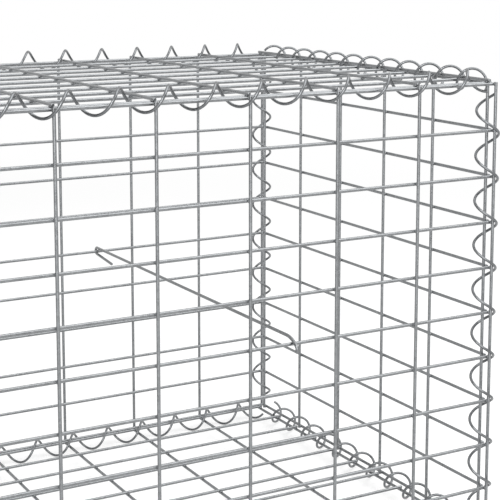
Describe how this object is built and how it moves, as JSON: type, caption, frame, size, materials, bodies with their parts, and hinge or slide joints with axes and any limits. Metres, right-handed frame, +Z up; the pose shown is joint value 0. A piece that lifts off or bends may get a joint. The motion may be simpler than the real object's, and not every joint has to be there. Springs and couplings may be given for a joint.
{
  "type": "gabion wall",
  "caption": "Empty two-bay gabion wall of welded wire mesh panels, laced at every edge with spiral wires and braced by hooked ties, to be filled with stone.",
  "frame": {"origin": "centre of the wall's footprint, on the surface that its bottom spirals stand on", "axes": "+X along the wall towards the end that the picture shows, +Y towards the back, +Z up"},
  "size_m": [2.034, 0.5156, 0.5355],
  "materials": {
    "mesh_wire": "hot-dip galvanised, dull zinc grey",
    "lacing_wire": "galvanised spiral wire, slightly darker zinc grey",
    "tie_wire": "galvanised tie wire, dull zinc grey"
  },
  "bodies": {
    "root": {"left_back_bottom_spiral": "lacing_wire", "left_back_corner_spiral": "lacing_wire", "left_back_panel": "mesh_wire", "left_back_top_spiral": "lacing_wire", "left_base_panel": "mesh_wire", "left_end_bottom_spiral": "lacing_wire", "left_end_panel": "mesh_wire", "left_end_top_spiral": "lacing_wire", "left_front_bottom_spiral": "lacing_wire", "left_front_corner_spiral": "lacing_wire", "left_front_panel": "mesh_wire", "left_front_top_spiral": "lacing_wire", "left_inner_tie": "tie_wire", "left_lid_panel": "mesh_wire", "left_outer_tie": "tie_wire", "partition_back_spiral": "lacing_wire", "partition_bottom_spiral": "lacing_wire", "partition_front_spiral": "lacing_wire", "partition_panel": "mesh_wire", "partition_top_spiral": "lacing_wire", "right_back_bottom_spiral": "lacing_wire", "right_back_corner_spiral": "lacing_wire", "right_back_panel": "mesh_wire", "right_back_top_spiral": "lacing_wire", "right_base_panel": "mesh_wire", "right_end_bottom_spiral": "lacing_wire", "right_end_panel": "mesh_wire", "right_end_top_spiral": "lacing_wire", "right_front_bottom_spiral": "lacing_wire", "right_front_corner_spiral": "lacing_wire", "right_front_panel": "mesh_wire", "right_front_top_spiral": "lacing_wire", "right_inner_tie": "tie_wire", "right_lid_panel": "mesh_wire", "right_outer_tie": "tie_wire"}
  },
  "joints": []
}
